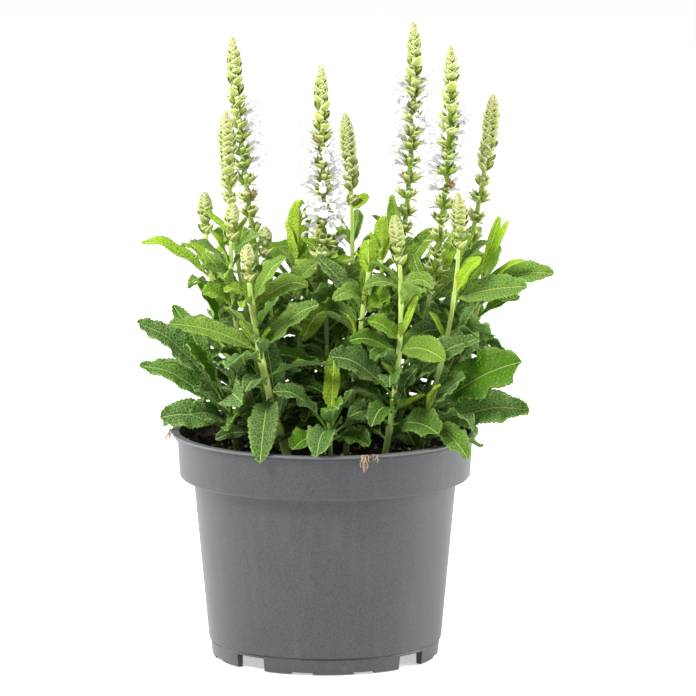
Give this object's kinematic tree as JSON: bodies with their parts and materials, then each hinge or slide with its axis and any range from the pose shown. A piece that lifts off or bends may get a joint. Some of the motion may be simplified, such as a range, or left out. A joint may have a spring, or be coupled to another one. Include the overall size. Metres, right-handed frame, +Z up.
{
  "type": "potted perennial salvia",
  "caption": "Bushy potted salvia with rough oblong leaves and upright spikes of small white two-lipped flowers, in a round plastic nursery pot.",
  "frame": {"origin": "middle of the whole plant's footprint, on the surface that the pot stands on", "axes": "+Z up the pot and the stems, -Y towards the front as the plant is seen, +X to the right"},
  "size_m": [0.225, 0.2036, 0.349],
  "materials": {
    "pot_plastic": "finely speckled, satin",
    "soil": "crumbly, matt",
    "foliage": "wrinkled, matt",
    "young_foliage": "matt",
    "flower_spikes": "soft, matt"
  },
  "bodies": {
    "root": {"pot": "pot_plastic", "potting_soil": "soil", "flowering_stem_a": "foliage", "flower_spike_a": "flower_spikes", "flowering_stem_b": "foliage", "flower_spike_b": "flower_spikes", "flowering_stem_c": "foliage", "flower_spike_c": "flower_spikes", "flowering_stem_d": "foliage", "flower_spike_d": "flower_spikes", "flowering_stem_e": "foliage", "flower_spike_e": "flower_spikes", "flowering_stem_f": "foliage", "flower_spike_f": "flower_spikes", "flowering_stem_g": "foliage", "flower_spike_g": "flower_spikes", "flowering_stem_h": "foliage", "flower_spike_h": "flower_spikes", "flowering_stem_i": "foliage", "flower_spike_i": "flower_spikes", "flowering_stem_j": "foliage", "flower_spike_j": "flower_spikes", "flowering_stem_k": "foliage", "flower_spike_k": "flower_spikes", "young_stem_l": "young_foliage", "young_stem_m": "young_foliage", "young_stem_n": "young_foliage", "flowering_stem_o": "foliage", "flower_spike_o": "flower_spikes", "flowering_stem_p": "foliage", "flower_spike_p": "flower_spikes", "young_stem_q": "young_foliage", "young_stem_r": "foliage", "young_stem_s": "foliage", "young_stem_t": "foliage", "leafy_tuft_left": "foliage", "leafy_tuft_front": "foliage", "leafy_tuft_right": "foliage", "leafy_tuft_back_left": "foliage", "leafy_tuft_back_right": "foliage", "leafy_tuft_back": "foliage"}
  },
  "joints": []
}
